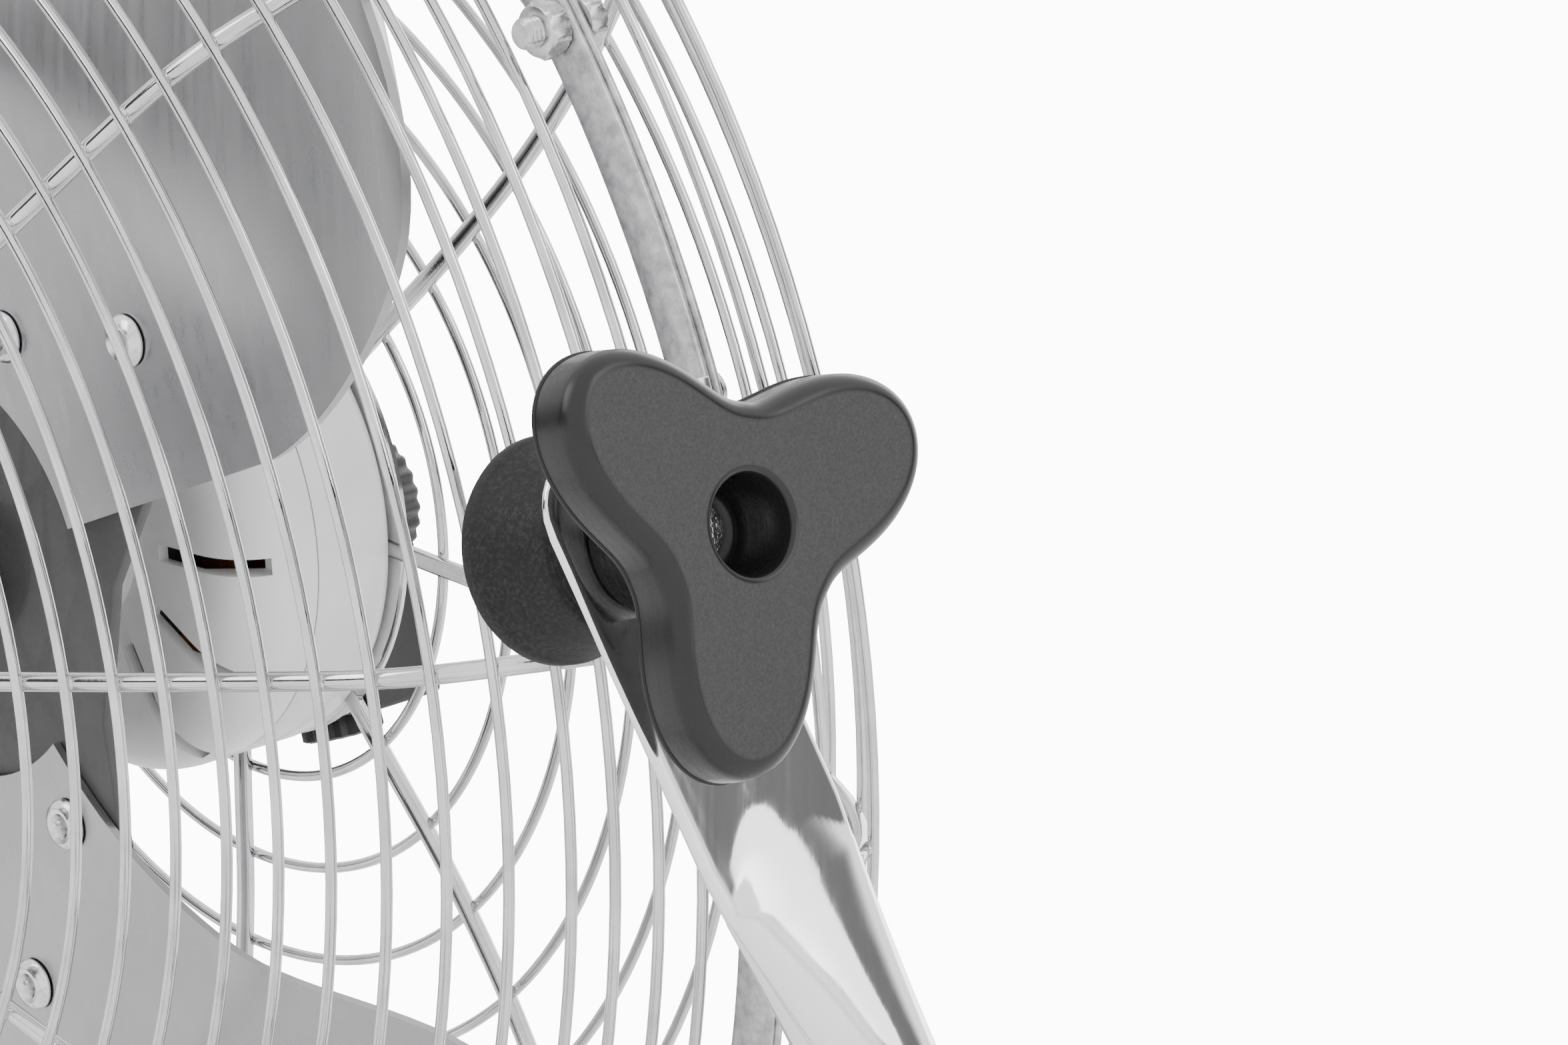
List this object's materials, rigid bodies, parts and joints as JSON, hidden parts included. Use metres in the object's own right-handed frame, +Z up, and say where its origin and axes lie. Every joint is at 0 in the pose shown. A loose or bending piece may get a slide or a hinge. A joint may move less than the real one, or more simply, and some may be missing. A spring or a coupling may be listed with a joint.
{
  "type": "desk fan",
  "caption": "Chrome-guarded fan on a bent tube stand: wire guards joined at a flat rim, pitched blades on a spider, rear motor, and clamp knobs that hold the head's tilt",
  "frame": {"origin": "on the floor, under the middle of the whole fan's box", "axes": "+X to the right of someone who faces the front of the fan, along the tilt pivots; -Y the way the air is blown; +Z up"},
  "size_m": [0.492, 0.2908, 0.4952],
  "materials": {
    "chrome": "polished chrome plate",
    "zinc": "bright zinc plate",
    "steel": "machined steel",
    "winding": "enamelled copper winding",
    "motor_paint": "silver paint",
    "black_plastic": "moulded, fine grain",
    "white_plastic": "moulded",
    "dark_paint": "dark grey paint",
    "blade_aluminium": "satin, lightly brushed",
    "rubber": "turned black rubber"
  },
  "bodies": {
    "stand": {"stand_tube": "chrome", "foot_front_right": "rubber", "foot_rear_right": "rubber", "foot_front_left": "rubber", "foot_rear_left": "rubber"},
    "head": {"front_guard": "chrome", "rear_guard": "chrome", "front_badge": "chrome", "guard_bolt_1": "zinc", "guard_bolt_2": "zinc", "guard_bolt_3": "zinc", "guard_bolt_4": "zinc", "guard_nut_1": "zinc", "guard_nut_2": "zinc", "guard_nut_3": "zinc", "guard_nut_4": "zinc", "tilt_bracket_right": "zinc", "bracket_rivet_right_upper": "zinc", "bracket_rivet_right_lower": "zinc", "tilt_stud_right": "zinc", "rubber_cone_right": "rubber", "handle_screw_right": "zinc", "tilt_bracket_left": "zinc", "bracket_rivet_left_upper": "zinc", "bracket_rivet_left_lower": "zinc", "tilt_stud_left": "zinc", "rubber_cone_left": "rubber", "handle_screw_left": "zinc", "carry_handle": "black_plastic", "motor_front_shell": "motor_paint", "motor_rear_shell": "motor_paint", "stator_core": "steel", "stator_coil_front": "winding", "stator_coil_rear": "winding", "front_bearing": "steel", "rear_bearing": "steel", "switch_housing": "black_plastic", "speed_switch": "white_plastic", "run_capacitor": "black_plastic", "cable_gland": "black_plastic", "motor_screw_1": "zinc", "motor_screw_2": "zinc", "motor_screw_3": "zinc", "motor_screw_4": "zinc"},
    "rotor": {"motor_shaft": "steel", "rotor_core": "steel", "hub_spider": "dark_paint", "hub_set_screw": "steel", "blade_1": "blade_aluminium", "blade_2": "blade_aluminium", "blade_3": "blade_aluminium", "blade_rivet_1": "blade_aluminium", "blade_rivet_2": "blade_aluminium", "blade_rivet_3": "blade_aluminium", "blade_rivet_4": "blade_aluminium", "blade_rivet_5": "blade_aluminium", "blade_rivet_6": "blade_aluminium"},
    "knob_right": {"tilt_knob_right": "black_plastic"},
    "knob_left": {"tilt_knob_left": "black_plastic"},
    "speed_dial": {"speed_knob": "black_plastic"}
  },
  "joints": [
    {"name": "head_tilt", "type": "hinge", "parent": "stand", "child": "head", "pos_m": [0, 0.01912, 0.24], "axis": [1, 0, 0], "range_deg": [-107, 23]},
    {"name": "rotor_spin", "type": "hinge", "parent": "head", "child": "rotor", "pos_m": [0, 0.05131, 0.25612], "axis": [0, 0.9563, 0.2924], "continuous": true},
    {"name": "knob_right_turn", "type": "hinge", "parent": "head", "child": "knob_right", "pos_m": [0.232, 0.01912, 0.24], "axis": [1, 0, 0], "range_deg": [0, 270]},
    {"name": "knob_left_turn", "type": "hinge", "parent": "head", "child": "knob_left", "pos_m": [-0.232, 0.01912, 0.24], "axis": [-1, 0, 0], "range_deg": [0, 270]},
    {"name": "speed_select", "type": "hinge", "parent": "head", "child": "speed_dial", "pos_m": [0, 0.12786, 0.27115], "axis": [0, 0.9563, 0.2924], "range_deg": [0, 135]}
  ]
}
